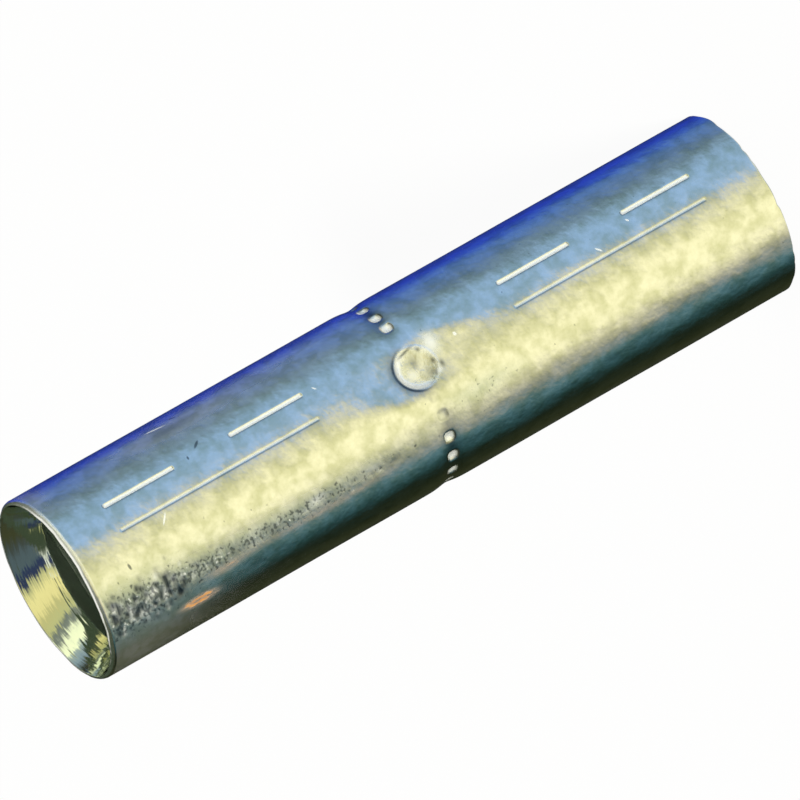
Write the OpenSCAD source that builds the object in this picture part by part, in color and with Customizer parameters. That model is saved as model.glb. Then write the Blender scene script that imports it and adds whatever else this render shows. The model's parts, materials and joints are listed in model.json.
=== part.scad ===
// Butt splice connector: one length of tinned copper tube that joins two stripped conductors end to end.
// It stands on one mouth, with its bore along +Z and its punched stop facing -Y.

/* [Barrel] */
// Length from mouth to mouth
barrel_length = 44; // [40:0.5:60]
// Diameter of the bore that takes a conductor
bore_diameter = 8.6; // [7.6:0.1:10.4]
// Thickness of the tube's wall
wall_thickness = 1; // [0.9:0.05:1.3]
// Chamfer that breaks the outer edge of each mouth
edge_break = 0.1; // [0.05:0.05:0.25]
// How far each mouth opens out past the bore, on its radius, to lead the strands in
lead_in = 0.6; // [0.1:0.05:0.6]
// Depth of the taper that opens each mouth
lead_in_depth = 2; // [1:0.1:3]

/* [Centre stop] */
// Length along the barrel of the dish that the punch pulls into the wall
dish_length = 7.6; // [6:0.2:9]
// Depth of the dish below the barrel's surface
dish_depth = 0.3; // [0.2:0.02:0.36]
// Diameter of the punch mark at its mouth
punch_diameter = 2.45; // [1.8:0.05:2.8]
// Depth of the punch mark's floor below the dish
punch_depth = 0.35; // [0.2:0.05:0.5]
// Slope of the punch mark's side, from the punch's own axis
punch_slope = 38; // [10:1:45]
// Diameter of the bump that the punch raises inside the bore
bump_diameter = 3.6; // [3:0.1:4.2]
// Height of the bump inside the bore
bump_rise = 0.6; // [0.3:0.05:0.8]

/* [Rolled ring] */
// Number of pits that the toothed roll leaves in one full turn
pit_count = 24; // [18:1:30]
// Diameter of a pit
pit_diameter = 0.7; // [0.4:0.05:0.8]
// Depth of a pit
pit_depth = 0.16; // [0.08:0.02:0.24]
// Turn of the first pit from the punch mark, towards +X
pit_phase = -2; // [-7:0.5:7]
// Length of the low ridge that the roll raises round the inside
ridge_length = 4.4; // [4.2:0.1:6]
// Height of the ridge inside the bore
ridge_rise = 0.2; // [0.18:0.02:0.3]

/* [Crimp marks] */
// Distance of the marks from the middle of the barrel
mark_from_middle = 6.3; // [5:0.1:8]
// Distance of the marks from the mouth
mark_from_mouth = 3.35; // [2:0.05:4]
// Length of each of the two dashes over a crimp zone
dash_length = 4.4; // [2:0.1:4.8]
// Width of a stamped dash
dash_width = 0.3; // [0.2:0.05:0.6]
// Depth of a stamped dash
dash_depth = 0.07; // [0.04:0.01:0.14]
// Width of the long line between the dashes and the punch mark
line_width = 0.25; // [0.2:0.05:0.5]
// Depth of the long line
line_depth = 0.05; // [0.03:0.01:0.1]
// Turn of the dashes from the punch mark, towards +X
dash_angle = 19.5; // [12:0.5:30]
// Turn of the long line from the punch mark, towards +X
line_angle = 1.9; // [-5:0.1:5]

/* [Hidden] */
$fn = 96;
bore_radius = bore_diameter / 2;
barrel_radius = bore_radius + wall_thickness;
middle = barrel_length / 2;
mark_length = middle - mark_from_middle - mark_from_mouth;
// How far a cutter reaches past the surface that it cuts
overcut = 1;

// Radius of the circle whose cap is so wide and so high
function cap_radius(width, height) = (width * width / 4 + height * height) / (2 * height);

// Puts its children on the barrel's middle, facing out at an angle from the punch mark
module at_middle(angle) {
    translate([0, 0, middle])
        rotate([0, 0, angle])
            children();
}

// The cut tube before it is drilled out and stamped
module blank() {
    rotate_extrude()
        polygon([
            [0, 0],
            [barrel_radius - edge_break, 0],
            [barrel_radius, edge_break],
            [barrel_radius, barrel_length - edge_break],
            [barrel_radius - edge_break, barrel_length],
            [0, barrel_length]
        ]);
}

// A straight bore that opens out at both mouths
module drilled_bore() {
    past_mouth = bore_radius + lead_in + overcut * lead_in / lead_in_depth;
    rotate_extrude()
        polygon([
            [0, -overcut],
            [past_mouth, -overcut],
            [bore_radius, lead_in_depth],
            [bore_radius, barrel_length - lead_in_depth],
            [past_mouth, barrel_length + overcut],
            [0, barrel_length + overcut]
        ]);
}

// The low round ridge that the toothed roll raises inside the wall
module ridge() {
    arc = cap_radius(ridge_length, ridge_rise);
    at_middle(0)
        rotate_extrude()
            translate([bore_radius - ridge_rise + arc, 0])
                circle(arc);
}

// The bump that stops each conductor halfway
module bump() {
    ball = cap_radius(bump_diameter, bump_rise);
    at_middle(0)
        translate([0, bump_rise - bore_radius - ball, 0])
            sphere(ball);
}

// All the room inside the tube
module bore() {
    difference() {
        drilled_bore();
        ridge();
        bump();
    }
}

// The dish that the punch pulls into the round wall, and the punch mark in its floor
module punched_stop() {
    ball = cap_radius(dish_length, dish_depth);
    reach = dish_depth + overcut;
    spread = tan(punch_slope);
    at_middle(0)
        translate([0, dish_depth - barrel_radius, 0]) {
            translate([0, -ball, 0])
                sphere(ball);
            rotate([90, 0, 0])
                translate([0, 0, -punch_depth])
                    cylinder(
                        h = punch_depth + reach,
                        r1 = punch_diameter / 2 - punch_depth * spread,
                        r2 = punch_diameter / 2 + reach * spread
                    );
        }
}

// The ring of round pits, which stops on both sides of the punch mark
module pit_ring() {
    ball = cap_radius(pit_diameter, pit_depth);
    pitch = 360 / pit_count;
    clear_of_punch = asin((punch_diameter / 2 + pit_diameter / 4) / barrel_radius);
    for (step = [0 : pit_count - 1]) {
        turn = pit_phase + step * pitch;
        if (cos(turn) < cos(clear_of_punch))
            at_middle(turn)
                translate([0, pit_depth - barrel_radius - ball, 0])
                    sphere(ball);
    }
}

// One straight groove with blunt ends, from so far off the middle towards the upper mouth
module groove(angle, start, length, width, depth) {
    round = cap_radius(width, depth);
    at_middle(angle)
        translate([0, depth - barrel_radius - round, start])
            cylinder(h = length, r = round);
}

// The marks over one crimp zone: a long line, and beside it a dash at each of its ends
module crimp_marks() {
    groove(line_angle, mark_from_middle, mark_length, line_width, line_depth);
    groove(dash_angle, mark_from_middle, dash_length, dash_width, dash_depth);
    groove(dash_angle, mark_from_middle + mark_length - dash_length, dash_length, dash_width, dash_depth);
}

// The same marks on the lower half
module crimp_marks_below() {
    translate([0, 0, barrel_length])
        mirror([0, 0, 1])
            crimp_marks();
}

module splice_barrel() {
    color("silver")
        difference() {
            blank();
            bore();
            punched_stop();
            pit_ring();
            crimp_marks();
            crimp_marks_below();
        }
}

splice_barrel();
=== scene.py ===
import json

import bpy
import numpy as np
from mathutils import Matrix, Vector


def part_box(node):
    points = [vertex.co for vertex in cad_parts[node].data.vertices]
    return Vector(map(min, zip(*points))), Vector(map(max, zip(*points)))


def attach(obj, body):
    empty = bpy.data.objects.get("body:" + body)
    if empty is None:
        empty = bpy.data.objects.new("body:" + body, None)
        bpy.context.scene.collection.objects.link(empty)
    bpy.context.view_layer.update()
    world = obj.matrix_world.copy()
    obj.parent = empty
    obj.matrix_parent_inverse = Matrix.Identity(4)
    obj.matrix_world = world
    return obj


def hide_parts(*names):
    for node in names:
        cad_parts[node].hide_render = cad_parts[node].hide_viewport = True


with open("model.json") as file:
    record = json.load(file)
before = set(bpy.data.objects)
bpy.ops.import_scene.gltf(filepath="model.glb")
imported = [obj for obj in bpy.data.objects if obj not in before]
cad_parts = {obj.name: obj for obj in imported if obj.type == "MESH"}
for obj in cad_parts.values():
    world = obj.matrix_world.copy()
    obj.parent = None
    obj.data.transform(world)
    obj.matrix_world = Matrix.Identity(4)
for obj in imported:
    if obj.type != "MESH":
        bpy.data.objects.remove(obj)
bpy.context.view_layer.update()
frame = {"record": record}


# The barrel: one length of drawn copper tube, sawn to length, tumbled so that its mouths are round-edged,
# opened out inside each mouth, then dipped in tin. The stop, the ring of pits and the crimp marks are pressed
# into the same wall. It is one closed surface: rows round the wall's section, columns round the bore.
mm = 0.001
low, high = (np.array(corner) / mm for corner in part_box("splice_barrel"))
barrel_radius = (high[0] - low[0]) / 2
barrel_length = high[2] - low[2]
middle = barrel_length / 2
bore_radius = frame["record"]["mounts"][0]["dims"]["r_mm"]
lead_in, lead_in_depth = 0.77, 2.1
# Reaches of the rounded edges: along the radius, then along the barrel.
upper_round, lower_round, lip_round = (0.20, 0.34), (0.14, 0.10), (0.03, 0.03)
# Ends of the crimp marks off the middle, on the upper half and on the lower half.
mark_ends = np.array([[6.4, 10.95, 14.55, 18.9], [6.2, 10.7, 14.2, 18.5]])


def arc(turns, centre, reach):
    """Points of an ellipse: its centre plus its two reaches times the cosine and the sine of the turn."""
    return np.stack([centre[0] + reach[0] * np.cos(turns), centre[1] + reach[1] * np.sin(turns)], 1)


def spaced(stretches, singles):
    """Places along a line: equal steps over each stretch of (start, end, step), and single places, in order.

    A place that comes closer than a hair to the one before it is left out.
    """
    hair = 0.012
    steps = [np.linspace(start, end, round((end - start) / step) + 1) for start, end, step in stretches]
    places = np.sort(np.concatenate([*steps, singles]))
    return places[np.diff(places, prepend=places[0] - 1) > hair]


# Rows up the outside: close over the ring, the stop, the blunt ends of the marks and the scuffed upper end.
outer_start, outer_end = lower_round[1], barrel_length - upper_round[1]
beside_mark_end, beside_corner = np.array([-0.11, -0.035, 0.035, 0.11]), 0.03
mark_rows = np.concatenate([middle + mark_ends[0], middle - mark_ends[1]])[:, None] + beside_mark_end
outer_z = spaced(
    (
        (outer_start, outer_end, 0.62),
        (middle - 1.3, middle + 1.6, 0.07),
        (middle - 4.4, middle + 4.6, 0.25),
        (middle + 14.6, outer_end, 0.11),
    ),
    np.append(mark_rows.ravel(), outer_start + beside_corner),
)
outer = np.stack([np.full_like(outer_z, barrel_radius), outer_z], 1)

# Rows down the bore: close over the bump and the ridge, and on both sides of each corner of the tapers.
taper_rows = np.array([lip_round[1], lead_in_depth, lead_in_depth]) + beside_corner * np.array([1, -1, 1])
bore_z = spaced(
    ((lip_round[1], barrel_length - lip_round[1], 2.2), (middle - 2.4, middle + 2.4, 0.24)),
    np.concatenate([taper_rows, barrel_length - taper_rows]),
)[::-1]
from_mouth = np.minimum(bore_z, barrel_length - bore_z)
bore = np.stack([bore_radius + lead_in * np.clip(1 - from_mouth / lead_in_depth, 0, 1), bore_z], 1)

# The section goes up the outside, over the upper rim, down the bore and back under the lower rim.
lip_centre = bore[0, 0] + lip_round[0]
quarter = np.linspace(0, np.pi / 2, 8)
upper_edge = arc(quarter, (barrel_radius - upper_round[0], outer_end), upper_round)[1:]
upper_lip = arc(quarter + np.pi / 2, (lip_centre, barrel_length - lip_round[1]), lip_round)[:-1]
lower_lip = arc(quarter + np.pi, (lip_centre, lip_round[1]), lip_round)[1:]
lower_edge = arc(quarter + 1.5 * np.pi, (barrel_radius - lower_round[0], outer_start), lower_round)[:-1]
section = np.concatenate([outer, upper_edge, upper_lip, bore, lower_lip, lower_edge])
row = np.arange(len(section))
edge_start, lip_start = len(outer), len(outer) + len(upper_edge)
bore_start = lip_start + len(upper_lip)
is_outer = row < edge_start
is_upper_rim = (row >= edge_start) & (row < lip_start)
is_bore = (row >= bore_start) & (row < bore_start + len(bore))
is_reamed = is_bore & (np.minimum(section[:, 1], barrel_length - section[:, 1]) < lead_in_depth)

# Columns: turns from the stop, towards +X, closest over the crimp marks and wider behind.
column_stretches = (
    (-84, -52, 1.2), (-52, 0, 0.8), (0, 4, 0.4), (4, 17, 0.8), (17, 22, 0.4), (22, 66, 1.1), (66, 276, 1.75),
)
turn = np.radians(np.concatenate([
    np.linspace(start, end, round((end - start) / step), endpoint=False) for start, end, step in column_stretches
]))
radius, height = (np.repeat(v[:, None], len(turn), 1) for v in section.T)
around = np.repeat(turn[None, :], len(section), 0)
around = np.where(around > np.pi, around - 2 * np.pi, around)
turn_deg = np.degrees(around)
outside, upper_rim, inside, reamed = (
    np.repeat(v[:, None], len(turn), 1) for v in (is_outer, is_upper_rim, is_bore, is_reamed)
)


def eased(depth, rounding):
    """The depth above nothing, with a round edge: half the sum of d and the root of d squared plus r squared."""
    return (depth + np.sqrt(depth ** 2 + rounding ** 2)) / 2


def bell(off, reach):
    """One in the middle, falling off on both sides over the reach: e to the minus square of off by reach."""
    return np.exp(-(off / reach) ** 2)


def patch(at_turn, turn_reach, at_height, height_reach):
    """A soft patch on the barrel: a bell round it, in degrees, times a bell along it."""
    return bell(turn_deg - at_turn, turn_reach) * bell(height - at_height, height_reach)


# The tube isn't quite true: slow waves of a few micrometres run along it and round it.
wave = sum(
    size * (1 + np.sin(2 * np.pi * height / length + turns * around + start))
    for size, length, turns, start in ((0.004, 17, 2, 0), (0.003, 9.5, -3, 1))
)

# Crimp marks: shallow round-bottomed grooves with blunt ends, stamped along the barrel over both crimp zones.
# Their floors are painted white, part frosty and part painted highlight; painted shade lies along each lower
# side.
line_turn, dash_turn = np.radians(1.9), np.radians(19.5)
line_width, line_depth, dash_width, dash_depth = 0.2, 0.018, 0.3, 0.07
groove_edge, end_slope, shade_reach = 0.006, 0.07, 0.045
half = (height < middle).astype(int)
from_middle = np.abs(height - middle)


def groove(at_turn, first, last, width, depth):
    """Depth of a groove, and the dirt along its lower side.

    The depth is a parabola across it times a straight rise at each end, and the dirt is a bell beside it.
    """
    across = barrel_radius * (around - at_turn)
    ends = np.clip((from_middle - mark_ends[half, first]) / end_slope + 0.5, 0, 1)
    ends = ends * np.clip((mark_ends[half, last] - from_middle) / end_slope + 0.5, 0, 1)
    hollow = eased(depth * (1 - (2 * across / width) ** 2), groove_edge)
    # The second value is painted shade: a dark band along the groove's lower side.
    return hollow * ends, bell(across + 0.6 * width, shade_reach) * ends


line, line_shade = groove(line_turn, 0, 3, line_width, line_depth)
inner_dash, inner_dash_shade = groove(dash_turn, 0, 1, dash_width, dash_depth)
outer_dash, outer_dash_shade = groove(dash_turn, 2, 3, dash_width, dash_depth)
dashes = inner_dash + outer_dash
# Painted highlight: the floors of the dashes and the line are painted frosty white. Painted shade: bands along
# their lower sides.
pressed = np.clip(dashes / dash_depth * 1.5, 0, 1) + 0.55 * np.clip(line / line_depth * 1.6 - 0.3, 0, 1)
grime = 0.6 * line_shade + 0.35 * (inner_dash_shade + outer_dash_shade)

# The rolled ring: square-shouldered pits at equal turns, left by a toothed roll, which has drawn the wall in a
# little as it went round. They stop on both sides of the punch mark, which has pushed its two neighbours aside.
# The roll hardly bit below the punch mark. The pits are painted frosty white as a painted highlight, and painted
# shade darkens the pits' shoulders, and between the pits at the sides.
pit_count, pit_phase, pit_width, pit_depth, pit_edge = 24, -2, 0.7, 0.16, 0.02
clear_of_punch, pushed_within, pushed_by = 15.3, 29, 3.2
neck_depth, neck_reach = 0.11, 0.6
off_ring = height - (middle + 0.18)
pit_turns = pit_phase + 360 / pit_count * np.arange(pit_count)
pit_turns = (pit_turns + 180) % 360 - 180
pit_turns = pit_turns[np.abs(pit_turns) > clear_of_punch]
pit_turns = pit_turns + pushed_by * np.sign(pit_turns) * (np.abs(pit_turns) < pushed_within)
pits = np.zeros_like(height)
for pit_turn in pit_turns:
    across = barrel_radius * ((around - np.radians(pit_turn) + np.pi) % (2 * np.pi) - np.pi)
    off = np.cbrt(np.abs(across) ** 3 + np.abs(off_ring) ** 3)
    faint = 0.82 * bell(pit_turn + 20.2, 5) + 0.72 * bell(pit_turn + 32, 5)
    pits += (1 - faint) * eased(pit_depth * (1 - (2 * off / pit_width) ** 2), pit_edge)
neck = neck_depth * bell(off_ring, neck_reach) * (1 - bell(turn_deg + 8, 42))
pit_share = pits / pit_depth
bite = 1 - 0.9 * bell(turn_deg + 25, 14) - 0.9 * bell(turn_deg - 78, 11)
# Painted highlight: the pits are painted frosty white.
pressed += bite * np.clip(pit_share * 1.8 - 0.2, 0, 1)
shaded_sides = bell(turn_deg - 46, 13) + 0.8 * bell(turn_deg + 50, 12)
# Painted shade: dark between the pits at the sides, and on their shoulders.
grime += 0.85 * shaded_sides * bell(off_ring, 0.36) * (1 - np.clip(pit_share * 3, 0, 1))
shaded_shoulders = bell(np.clip(pit_share, 0, 1) - 0.12, 0.08) * (np.abs(off_ring) < 0.6)
grime += 0.6 * (1 - 0.8 * bell(turn_deg + 24, 12)) * shaded_shoulders

# Scuffs: short strokes across the barrel from handling, thick at the upper mouth and thinning out along it. Most
# are dents with dirt in them, some are bright nicks. A worn streak lies over the dashes of the upper half.
rng = np.random.default_rng(11)
mouth_count, trail_count, stray_count, bright_from = 130, 110, 240, 0.66
at_mouth = np.stack(
    [rng.normal(-42, 7.0, mouth_count), barrel_length - 0.5 - 4.6 * rng.random(mouth_count) ** 1.2], 1
)
trailing = np.stack(
    [rng.normal(-41, 3.0, trail_count), barrel_length - 4 - 15 * rng.random(trail_count) ** 1.2], 1
)
stray = np.stack([rng.uniform(-180, 180, stray_count), rng.uniform(1, barrel_length - 1, stray_count)], 1)
dents = np.zeros_like(height)
for places, deepest, widest, soiled in (
    (at_mouth, 0.026, 0.24, 0.8), (trailing, 0.016, 0.19, 0.4), (stray, 0.006, 0.22, 0),
):
    chances = rng.random((len(places), 4))
    for (at_turn, at_height), (width, length, depth, slant) in zip(places, chances):
        across = barrel_radius * (around - np.radians(at_turn))
        along = height - at_height + (slant - 0.5) * 0.5 * across
        stroke = bell(across, widest * (0.5 + 0.7 * width)) * bell(along, 0.08 + 0.08 * length)
        dents += deepest * (0.3 + 0.7 * depth) * stroke
        mark = soiled * (0.4 + 0.6 * depth) * stroke
        if slant < bright_from:
            grime += mark
        else:
            pressed += mark
grime += 0.4 * patch(47, 5, 35, 1.9)
radius = radius - np.where(outside, wave + line + dashes + pits + neck + dents, 0)
x, y, z = radius * np.sin(around), -radius * np.cos(around), height.copy()


def knocked(count, deepest):
    """Depth of the dents round a rim: the sum of bells at random turns, as wide and as deep as chance has it."""
    dent_turns, reaches = rng.uniform(-165, 165, count), rng.uniform(1.5, 6, count)
    depths = rng.uniform(0.15, 1, count) * deepest
    return sum(depth * bell(turn_deg - at, reach) for at, reach, depth in zip(dent_turns, reaches, depths))


# Both rims are knocked, the lower one most where it was dropped on its edge.
rim_reach = 0.5
z += (0.10 * bell(turn_deg - 64, 9) + knocked(24, 0.06)) * np.clip(1 - height / rim_reach, 0, 1)
z -= knocked(30, 0.03) * np.clip(1 - (barrel_length - height) / rim_reach, 0, 1)

# The centre stop: a round punch, held a little askew, dishes the wall inwards and leaves its own floor, and
# the wall inside rises as a bump that a conductor meets halfway. Depths are along Y, the way the punch went.
dish_depth, dish_length, dish_edge, stop_height = 0.3, 7.6, 0.15, middle + 0.16
punch_radius, punch_depth, punch_foot, punch_edge = 2.45 / 2, 0.22, 0.1, 0.035
punch_slope, punch_lean = np.tan(np.radians(42)), np.tan(np.radians(9))
floor_hollow, floor_unevenness = 0.05, 0.02
dish_round = (dish_length ** 2 / 4 + dish_depth ** 2) / (2 * dish_depth)
dish_bottom = barrel_radius - dish_depth
up = z - stop_height
from_axis = np.hypot(x, up)
deep_side = (up - x) / np.sqrt(2)
facing_punch = np.cos(around) > 0.6
front = outside & facing_punch
wall = -y
dished = wall - eased(wall - dish_bottom - from_axis ** 2 / (2 * dish_round), dish_edge)
punch_side = dish_bottom + (from_axis - punch_radius) / punch_slope
punch_floor = dish_bottom - punch_depth - punch_lean * deep_side + floor_hollow * from_axis ** 2
punch_floor += floor_unevenness * np.sin(4.1 * x + 1.2) * np.sin(3.7 * up + 0.4)
punch = punch_floor + eased(punch_side - punch_floor, punch_foot)
y = np.where(front, -(dished - eased(dished - punch, punch_edge)), y)


def spot(weight, at_x, at_up, reach, longer):
    """A soft spot near the punch mark: the weight times a bell of the distance from it, longer across."""
    return np.where(front, weight * bell(np.hypot((x - at_x) / longer, up - at_up), reach), 0)


# The punch mark's side is painted frosty white towards the upper mouth as a painted highlight, with a painted
# shadow line along it there, a fainter painted highlight round the rest of its rim, and a dark chord across its
# floor. Pale and dark spots lie on the floor and the rim, and a painted sheen, a pale patch, lies beside it.
punched = np.where(front, np.clip((punch_radius + 0.05 - from_axis) / 0.1, 0, 1), 0)
rim_gap = from_axis - punch_radius
# The side that takes the painted highlight and the painted shadow line.
highlight_side = np.clip((0.956 * up - 0.256 * x) / from_axis.clip(0.1) + 0.25, 0, 1)
painted_highlight_wall = 1.3 * bell(rim_gap + 0.2, 0.17) * highlight_side + 0.25 * bell(rim_gap, 0.1) * (1 - highlight_side)
painted_shadow_line = (bell(rim_gap - 0.08, 0.08) + 0.35 * bell(rim_gap - 0.25, 0.18)) * highlight_side
chord_x, chord_up = x - 1.0, up - 0.14
chord = bell(0.967 * chord_x + 0.255 * chord_up, 0.07) * bell(0.255 * chord_x - 0.967 * chord_up, 0.5)
# The last pale spot is a painted sheen beside the punch mark.
pale_spots_and_sheen = ((0.45, -0.24, 0.34, 0.3, 1.0), (0.6, -0.74, -1.02, 0.16, 1.0), (0.95, 0.8, -1.4, 0.42, 1.4))
dark_spots = (
    (0.7, 0.8, -0.6, 0.12, 1.0), (0.85, -0.08, -1.0, 0.12, 1.5), (0.75, -0.45, -1.32, 0.12, 1.7),
    (0.5, -0.6, -0.66, 0.3, 1.0), (0.5, 0.3, -0.05, 0.26, 1.3),
)
pressed += np.where(front, painted_highlight_wall + 0.3 * punched, 0) + sum(spot(*at) for at in pale_spots_and_sheen)
grime += np.where(front, painted_shadow_line + 0.9 * chord, 0) + sum(spot(*at) for at in dark_spots)

# Inside, the roll has raised a low ridge all the way round, and the punch a bump.
ridge_rise, ridge_length, ridge_edge = 0.2, 4.4, 0.03
bump_rise, bump_width, bump_edge = 0.6, 3.6, 0.05
ridge = eased(ridge_rise * (1 - (2 * (z - middle) / ridge_length) ** 2), ridge_edge)
shrink = np.where(inside, 1 - ridge / bore_radius, 1)
x, y = x * shrink, y * shrink
bump = eased(bump_rise * (1 - (2 * np.hypot(x, z - middle) / bump_width) ** 2), bump_edge)
y = np.where(inside & facing_punch, -np.minimum(-y, bore_radius - bump), y)

# Where the finish differs, kept on the surface: frost and painted highlight, dirt and painted shade, scuffs,
# bare copper, dullness, and so on.
# The first mask holds frost and painted highlights, the second dirt and painted shade.
pressed, grime = (np.clip(v, 0, 1) * outside for v in (pressed, grime))
# Painted highlight: the near side of the upper rim is painted frosty white.
pressed += 0.6 * bell(turn_deg - 14, 42) * upper_rim
scuffed = 1.1 * patch(-43, 17, 42.8, 4.6) + 0.92 * patch(-40.5, 6.5, 33, 9) + 0.5 * patch(-29, 6.5, 19.5, 2.1)
copper = patch(-60.5, 3.4, 38.4, 1.05) + 0.34 * patch(-49, 3.4, 36.6, 1.3) + 0.28 * patch(-47.5, 3, 30, 5)
dull = patch(-75, 32, 42.5, 5.0) + 0.7 * patch(-36, 8, 33, 9)
dull += 1.1 * patch(47, 5.5, 35, 2.2) + 0.8 * patch(50, 14, 33, 9) + patch(58, 20, 43.6, 0.9)
scuffed, copper, dull = (np.clip(v, 0, 1) * outside for v in (scuffed, copper, dull))

rows, columns = x.shape
index = np.arange(rows * columns).reshape(rows, columns)
right, above = np.roll(index, -1, 1), np.roll(index, -1, 0)
quads = np.stack([index, right, np.roll(right, -1, 0), above], -1).reshape(-1, 4)
mesh = bpy.data.meshes.new("barrel")
mesh.from_pydata((np.stack([x, y, z], -1).reshape(-1, 3) * mm).tolist(), [], quads.tolist())
mesh.polygons.foreach_set("use_smooth", np.ones(len(quads), bool))
for name, values in (
    ("pressed", pressed), ("grime", grime), ("punched", punched), ("scuffed", scuffed), ("copper", copper),
    ("dull", dull), ("bore", inside), ("reamed", reamed),
):
    kept = mesh.attributes.new(name, "FLOAT", "POINT")
    kept.data.foreach_set("value", values.ravel().astype(np.float32))
# The barrel unrolled: length round it and height, with the back lifted off the plane of the strokes drawn on it.
back_from, back_lift = 2.4, 5.0
unrolled = np.stack([barrel_radius * around, height, np.where(np.abs(around) > back_from, back_lift, 0.0)], -1)
kept = mesh.attributes.new("unrolled", "FLOAT_VECTOR", "POINT")
kept.data.foreach_set("vector", unrolled.ravel().astype(np.float32))
mesh.update()
barrel = bpy.data.objects.new("barrel", mesh)
bpy.context.scene.collection.objects.link(barrel)


class Finish:
    """A socket in a node tree: sums and products of it add Math nodes, and make() adds any other node."""

    def __init__(self, tree, socket=None):
        self.tree, self.socket = tree, socket

    def make(self, kind, settings, sockets, out=0):
        """A node of this kind: its settings, then its sockets' values or links; gives the output asked for."""
        node = self.tree.nodes.new(kind)
        for name, value in settings.items():
            if name == "stops":
                while len(node.color_ramp.elements) < len(value):
                    node.color_ramp.elements.new(1)
                for stop, (place, colour) in zip(node.color_ramp.elements, value):
                    stop.position, stop.color = place, (*colour, 1)
            else:
                setattr(node, name, value)
        for name, value in sockets.items():
            if isinstance(value, Finish):
                self.tree.links.new(value.socket, node.inputs[name])
            else:
                node.inputs[name].default_value = value
        return Finish(self.tree, node.outputs[out] if node.outputs else None)

    def maths(self, operation, first, second=0.0):
        return self.make("ShaderNodeMath", {"operation": operation}, {0: first, 1: second})

    def __add__(self, other):
        return self.maths("ADD", self, other)

    def __radd__(self, other):
        return self.maths("ADD", other, self)

    def __sub__(self, other):
        return self.maths("SUBTRACT", self, other)

    def __rsub__(self, other):
        return self.maths("SUBTRACT", other, self)

    def __mul__(self, other):
        return self.maths("MULTIPLY", self, other)

    def __rmul__(self, other):
        return self.maths("MULTIPLY", other, self)

    def most(self, other):
        """The greater of the two."""
        return self.maths("MAXIMUM", self, other)

    def between(self, start, end):
        """Nothing before start and one after end, smooth between."""
        return self.make("ShaderNodeMapRange", {"interpolation_type": "SMOOTHSTEP"}, {0: self, 1: start, 2: end})

    def mixed(self, first, second):
        """The first colour where this is nothing, the second where it is one."""
        return self.make("ShaderNodeMix", {"data_type": "RGBA"}, {0: self, 6: first, 7: second}, out=2)

    def stretched(self, scale):
        """This vector times the scale."""
        return self.make("ShaderNodeMapping", {}, {"Vector": self, "Scale": scale})

    def laid(self, place, slant, size):
        """This vector seen from a place, turned by the slant in degrees and measured in sizes."""
        return self.make(
            "ShaderNodeMapping",
            {"vector_type": "TEXTURE"},
            {"Vector": self, "Location": place, "Rotation": (0, 0, np.radians(slant)), "Scale": size},
        )

    def noise(self, scale, detail=2.0):
        """Noise over this vector, from nothing to one."""
        return self.make("ShaderNodeTexNoise", {}, {"Vector": self, "Scale": scale, "Detail": detail})

    def kept(self, name, out=2):
        """A value, or with out 1 a vector, that the mesh keeps on its points."""
        return self.make("ShaderNodeAttribute", {"attribute_name": name}, {}, out=out)

    def strokes(self, places):
        """Strokes on the unrolled barrel: one inside each ellipse of (turn, height, slant, length, width)."""
        together = 0.0
        for at_turn, at_height, slant, length, width in places:
            centre = (barrel_radius * np.radians(at_turn), at_height, 0)
            local = self.laid(centre, slant, (length / 2, width / 2, 1))
            off = self.make("ShaderNodeVectorMath", {"operation": "LENGTH"}, {0: local}, out=1)
            together = off.between(1.0, 0.45).most(together)
        return together

    def raised(self, distance, below):
        """The normal that this height gives, over the normal below it, if there is one."""
        sockets = {"Strength": 1.0, "Distance": distance, "Height": self}
        if below is not None:
            sockets["Normal"] = below
        return self.make("ShaderNodeBump", {}, sockets)


# Tin plate: bright, uneven from the dip, streaked along the draw, frosty white where it is stamped, with painted
# highlights in the marks, the pits, the punch mark and on the near rim, dark with dirt and with painted shade
# along the marks, round the pits and by the punch mark, dirty and dull where it is scuffed, and rubbed through
# to the copper in one place. Inside, it is lined along the bore, and tool marks run round the tapers.
# The frosty white also paints highlights, and the oxide colour also paints shade.
tin, grey_tin, frost_and_highlight_white = (0.90, 0.89, 0.86, 1), (0.60, 0.61, 0.48, 1), (0.96, 0.97, 0.96, 1)
taper_tin, bore_tin, smudge = (0.84, 0.87, 0.78, 1), (0.78, 0.86, 0.76, 1), (0.30, 0.41, 0.50, 1)
warm_tin, red_copper, bare_copper = (0.84, 0.62, 0.48, 1), (0.78, 0.26, 0.07, 1), (0.95, 0.46, 0.15, 1)
oxide_and_shade = (0.07, 0.085, 0.10, 1)
nick_places = (
    (6.7, 10.1, 38, 0.55, 0.15), (13.8, 7.8, 33, 0.3, 0.15), (5.9, 19.4, 20, 0.32, 0.24),
    (18.9, 27.6, 36, 0.36, 0.12), (-4.6, 38.55, -39, 0.9, 0.13), (54.4, 35.6, 79, 1.5, 0.16),
)
stain_places = (
    (25.2, 34.7, -50, 0.75, 0.2), (20, 35.55, -10, 0.32, 0.15), (64.4, 26.6, 80, 0.9, 0.1),
    (-18.5, 41.5, 8, 0.5, 0.2), (56.6, 34.4, 75, 0.6, 0.16),
)
plate = bpy.data.materials.new("tin_plate")
plate.use_nodes = True
plate.node_tree.nodes.clear()
bench = Finish(plate.node_tree)
place = bench.make("ShaderNodeTexCoord", {}, {}, out=3)
flat = bench.kept("unrolled", 1)
kept_frost_and_highlight, kept_dirt_and_shade, punch_mark, scuff = (bench.kept(name) for name in ("pressed", "grime", "punched", "scuffed"))
rubbed, dulled, in_bore, at_taper = (bench.kept(name) for name in ("copper", "dull", "bore", "reamed"))
plain = 1 - in_bore
cloud, mottle, grain = place.stretched((1, 1, 0.4)).noise(430, 1.5), place.noise(1000, 2.5), place.noise(3400)
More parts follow.
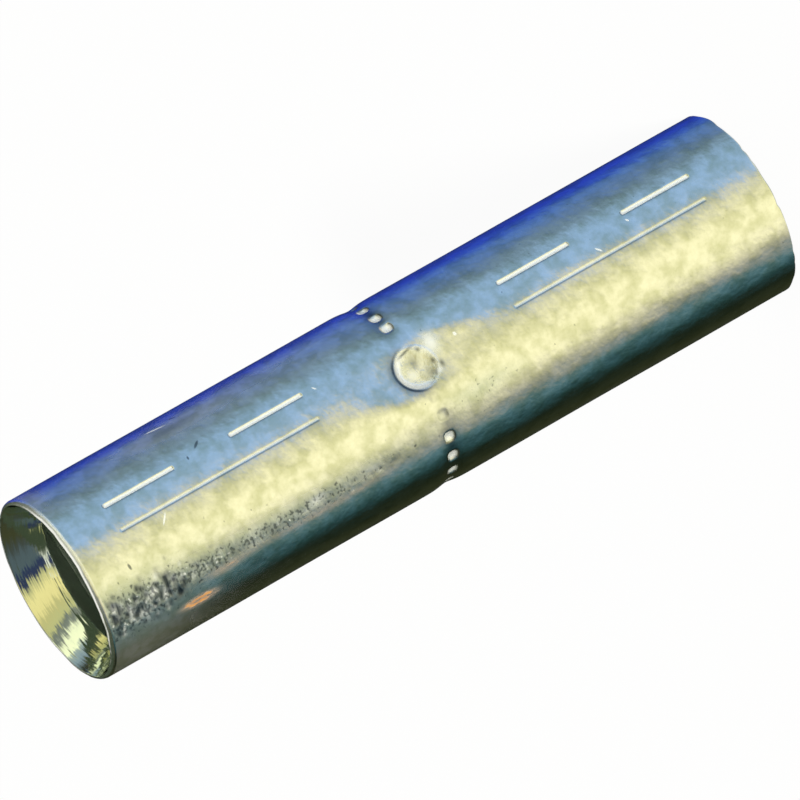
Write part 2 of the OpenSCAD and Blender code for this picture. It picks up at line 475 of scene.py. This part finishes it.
streaks, bore_lines = place.stretched((1, 1, 0.08)).noise(1300), place.stretched((1, 1, 0.02)).noise(2400)
tool_marks = place.stretched((0.1, 0.1, 1)).noise(3400)
comb, rub_streaks = flat.stretched((2.2, 7.0, 1)).noise(1.0, 1.5), flat.stretched((6.0, 1.6, 1)).noise(1.0)

# Blotches and specks in the scuffed parts: most are dark, a few are bright.
blots = flat.laid((0, 0, 0), 7, (0.48, 0.24, 1)).noise(1.0, 3.0) * 0.8 + flat.noise(5.5, 0.5) * 0.6 - 0.2
dark_cuts = (blots + scuff * 0.3).between(0.72, 0.90)
bright_cuts = (scuff * 0.25 - blots).between(-0.12, -0.05)
nicks, stains = flat.strokes(nick_places), flat.strokes(stain_places)
worn_through = (rubbed * 0.9 + rub_streaks * 2.4).between(1.5, 2.1) * rubbed.between(0.15, 0.5)
haze = rubbed.between(0.03, 0.4)
# Painted highlights go in with the frost: they whiten the tin.
frost_and_highlight = kept_frost_and_highlight.most(nicks).most(bright_cuts * 0.8)

uneven = mottle.between(0.36, 0.66) * 0.62 + grain.between(0.3, 0.7) * 0.24 + dulled * 0.3
colour = uneven.mixed(tin, grey_tin)
colour = (scuff * (0.3 + comb * 0.5)).mixed(colour, smudge)
colour = (haze * 0.65).mixed(colour, warm_tin)
colour = frost_and_highlight.mixed(colour, frost_and_highlight_white)
# Painted shade goes in with the dirt: it darkens the tin towards the oxide colour.
colour = kept_dirt_and_shade.most(stains * 0.75).most(dark_cuts * 0.75).mixed(colour, oxide_and_shade)
colour = worn_through.mixed(colour, rub_streaks.between(0.35, 0.65).mixed(red_copper, bare_copper))
colour = in_bore.mixed(colour, at_taper.mixed(bore_tin, taper_tin))
metal = 1 - frost_and_highlight * 0.6 - worn_through * 0.6 - haze * 0.2 - dulled * 0.16
rough = 0.13 + mottle * 0.06 + streaks * 0.04 + scuff * 0.08 + dulled * 0.16 + frost_and_highlight * 0.2 + worn_through * 0.2
rough = rough * plain + in_bore * 0.27 - at_taper * 0.21
lines = streaks * plain * 0.5 + bore_lines * (in_bore - at_taper * 0.75) * 2.0 + tool_marks * at_taper * 1.2
peel = (grain * (0.6 + punch_mark * 2.8) + (comb - blots) * scuff * 1.4) * plain
normal = None
for relief, distance in ((cloud * plain, 1.05e-4), (mottle * plain, 3.2e-5), (lines, 1.2e-5), (peel, 1.2e-5)):
    normal = relief.raised(distance, normal)
surface = bench.make(
    "ShaderNodeBsdfPrincipled",
    {},
    {"Base Color": colour, "Metallic": metal, "Roughness": rough, "Normal": normal},
)
bench.make("ShaderNodeOutputMaterial", {}, {"Surface": surface})
mesh.materials.append(plate)
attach(barrel, "root")
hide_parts("splice_barrel")


# The camera looks down on the punch-marked side from its left, with the barrel slanting over the picture.
# Its lens is long, as the barrel hardly narrows with distance.
view_turn, view_rise, view_roll = np.radians(9.6), np.radians(19.804), np.radians(-119.62)
view_field, view_distance = np.radians(3.0), 0.8049
picture_width, off_centre = 800, (-0.71, -4.52)
ahead = np.array([
    np.sin(view_turn) * np.cos(view_rise), np.cos(view_turn) * np.cos(view_rise), -np.sin(view_rise),
])
level = np.array([np.cos(view_turn), -np.sin(view_turn), 0])
over = np.cross(level, ahead)
across = np.cos(view_roll) * level + np.sin(view_roll) * over
upward = np.cos(view_roll) * over - np.sin(view_roll) * level
pixel = 2 * view_distance * np.tan(view_field / 2) / picture_width
shift = pixel * (off_centre[0] * across - off_centre[1] * upward)
eye = np.array([0, 0, middle * mm]) - view_distance * ahead - shift
camera = bpy.data.objects.new("camera", bpy.data.cameras.new("camera"))
camera.data.angle = view_field
camera.data.clip_start = 0.01
camera.matrix_world = Matrix.Translation(eye) @ Matrix(np.stack([across, upward, -ahead], 1)).to_4x4()
bpy.context.scene.collection.objects.link(camera)
bpy.context.scene.camera = camera


# The floor: a plain white sheet of paper under the barrel, laid flat. It shows white to the camera and keeps a
# soft shadow, and it isn't seen in the metal.
floor_half, whiteness = 0.9, 0.93
sheet = bpy.data.meshes.new("floor")
corners = [(sx * floor_half, sy * floor_half, 0) for sx, sy in ((-1, -1), (1, -1), (1, 1), (-1, 1))]
sheet.from_pydata(corners, [], [(0, 1, 2, 3)])
floor = bpy.data.objects.new("floor", sheet)
bpy.context.scene.collection.objects.link(floor)
paper = bpy.data.materials.new("white_sheet")
paper.use_nodes = True
paper.node_tree.nodes.clear()
bench = Finish(paper.node_tree)
seen = bench.make("ShaderNodeLightPath", {}, {}, out=0)
matt = bench.make("ShaderNodeBsdfDiffuse", {}, {"Color": (0.9, 0.9, 0.9, 1)})
white = bench.make("ShaderNodeEmission", {}, {"Color": (1, 1, 1, 1), "Strength": 1.0})
paper_face = bench.make("ShaderNodeMixShader", {}, {0: seen * whiteness, 1: matt, 2: white})
bench.make("ShaderNodeOutputMaterial", {}, {"Surface": paper_face})
sheet.materials.append(paper)
floor.visible_glossy = False


# The studio: a blue card on the left, a cream one in front and a dark flag on the right stand round the barrel
# and show in its side. A higher ring of cards, with a dark gap over it, shows in the tapered mouth. White hangs
# overhead, and one lamp, not seen in the metal, shines from the front. Bearings are in degrees from the camera.
cards = (
    (-180, (0.035, 0.04, 0.03)), (-164, (0.02, 0.04, 0.22)), (-146, (0.022, 0.052, 0.52)),
    (-130, (0.038, 0.105, 0.54)), (-116, (0.10, 0.22, 0.56)), (-98, (0.125, 0.225, 0.43)),
    (-84, (0.17, 0.265, 0.33)), (-66, (0.305, 0.50, 0.74)), (-30, (0.36, 0.57, 0.86)),
    (-22, (0.61, 0.64, 0.60)), (-12, (0.77, 0.76, 0.50)), (2, (1.0, 0.97, 0.57)),
    (14, (1.19, 1.15, 0.69)), (38, (1.19, 1.15, 0.71)), (60, (0.64, 0.62, 0.43)),
    (72, (0.31, 0.33, 0.30)), (84, (0.095, 0.215, 0.25)), (100, (0.022, 0.068, 0.075)),
    (116, (0.011, 0.018, 0.010)), (150, (0.030, 0.036, 0.016)), (180, (0.035, 0.04, 0.03)),
)
high_cards = (
    (-180, (0.035, 0.04, 0.03)), (-112, (0.04, 0.045, 0.03)), (-96, (0.27, 0.37, 0.44)),
    (-84, (0.40, 0.48, 0.46)), (-76, (1.15, 1.2, 0.80)), (-60, (1.05, 1.1, 0.75)),
    (-53, (0.25, 0.28, 0.24)), (-45, (0.20, 0.23, 0.20)), (-39, (0.60, 0.60, 0.28)),
    (-23, (0.62, 0.58, 0.26)), (-12, (0.93, 0.83, 0.37)), (4, (0.97, 0.87, 0.39)),
    (20, (0.55, 0.54, 0.27)), (28, (0.04, 0.055, 0.11)), (38, (0.03, 0.045, 0.11)),
    (46, (0.09, 0.13, 0.15)), (62, (0.085, 0.12, 0.14)), (76, (0.06, 0.075, 0.07)),
    (92, (0.055, 0.06, 0.028)), (180, (0.035, 0.04, 0.03)),
)
dark_gap, overhead = (0.062, 0.084, 0.055, 1), (1.0, 1.0, 0.98, 1)
dark_ground, pale_ground = (0.12, 0.12, 0.10, 1), (1.0, 1.0, 0.92, 1)
degree = float(np.pi / 180)
studio = bpy.data.worlds.new("studio")
bpy.context.scene.world = studio
studio.use_nodes = True
studio.node_tree.nodes.clear()
bench = Finish(studio.node_tree)
way = bench.make("ShaderNodeTexCoord", {}, {}, out=0)
way_x, way_y, way_z = (bench.make("ShaderNodeSeparateXYZ", {}, {0: way}, out=k) for k in range(3))
rise = bench.maths("ARCSINE", way_z) * (1 / degree)
swing = bench.maths("ARCTAN2", -1 * way_x, -1 * way_y) * (1 / degree) - float(np.degrees(view_turn))


def facing(bearing):
    """One towards this bearing and minus one away from it: the cosine of the angle between."""
    return bench.maths("COSINE", (swing - bearing) * degree)


def round_about(angle, stops):
    """A colour for each bearing through a ramp over one turn."""
    return bench.make(
        "ShaderNodeValToRGB",
        {"stops": [((a + 180) / 360, c) for a, c in stops]},
        {0: bench.maths("FRACT", angle * (1 / 360) + 0.5)},
    )


# The cards lean about the level that the barrel's side shows, and the high ones about the level of the taper.
leaning = swing + (0.75 + 0.75 * facing(-20)) * (rise + float(np.degrees(view_rise)))
high_leaning = swing + 2 * (rise - 9 - 11 * facing(0))
surround = rise.between(-1, 4).mixed(round_about(leaning, cards), round_about(high_leaning, high_cards))
surround = (rise - 13.7 * facing(0)).between(11.8, 14.8).mixed(surround, dark_gap)
surround = (rise - 12 - 10 * facing(75) - 8 * facing(-20)).between(28, 44).mixed(surround, overhead)
underfoot = (0.55 + 0.45 * facing(-150)).mixed(dark_ground, pale_ground)
surround = (rise - 15 * facing(-150)).between(-45, -62).mixed(surround, underfoot)
seen = bench.make("ShaderNodeLightPath", {}, {}, out=0)
backdrop = bench.make(
    "ShaderNodeBackground", {}, {"Color": seen.mixed(surround, (1, 1, 1, 1)), "Strength": 1.0}
)
bench.make("ShaderNodeOutputWorld", {}, {"Surface": backdrop})

lamp_rise, lamp_turn = np.radians(38), view_turn + np.radians(6)
lamp = bpy.data.objects.new("front_lamp", bpy.data.lights.new("front_lamp", "SUN"))
lamp.data.energy = 2.4
lamp.data.angle = np.radians(6)
lamp.data.color = (1.0, 0.98, 0.92)
lamp.visible_glossy = False
towards = Vector((
    -np.sin(lamp_turn) * np.cos(lamp_rise), -np.cos(lamp_turn) * np.cos(lamp_rise), np.sin(lamp_rise),
))
lamp.matrix_world = towards.to_track_quat("Z", "Y").to_matrix().to_4x4()
bpy.context.scene.collection.objects.link(lamp)

bpy.context.scene.view_settings.view_transform = "Standard"
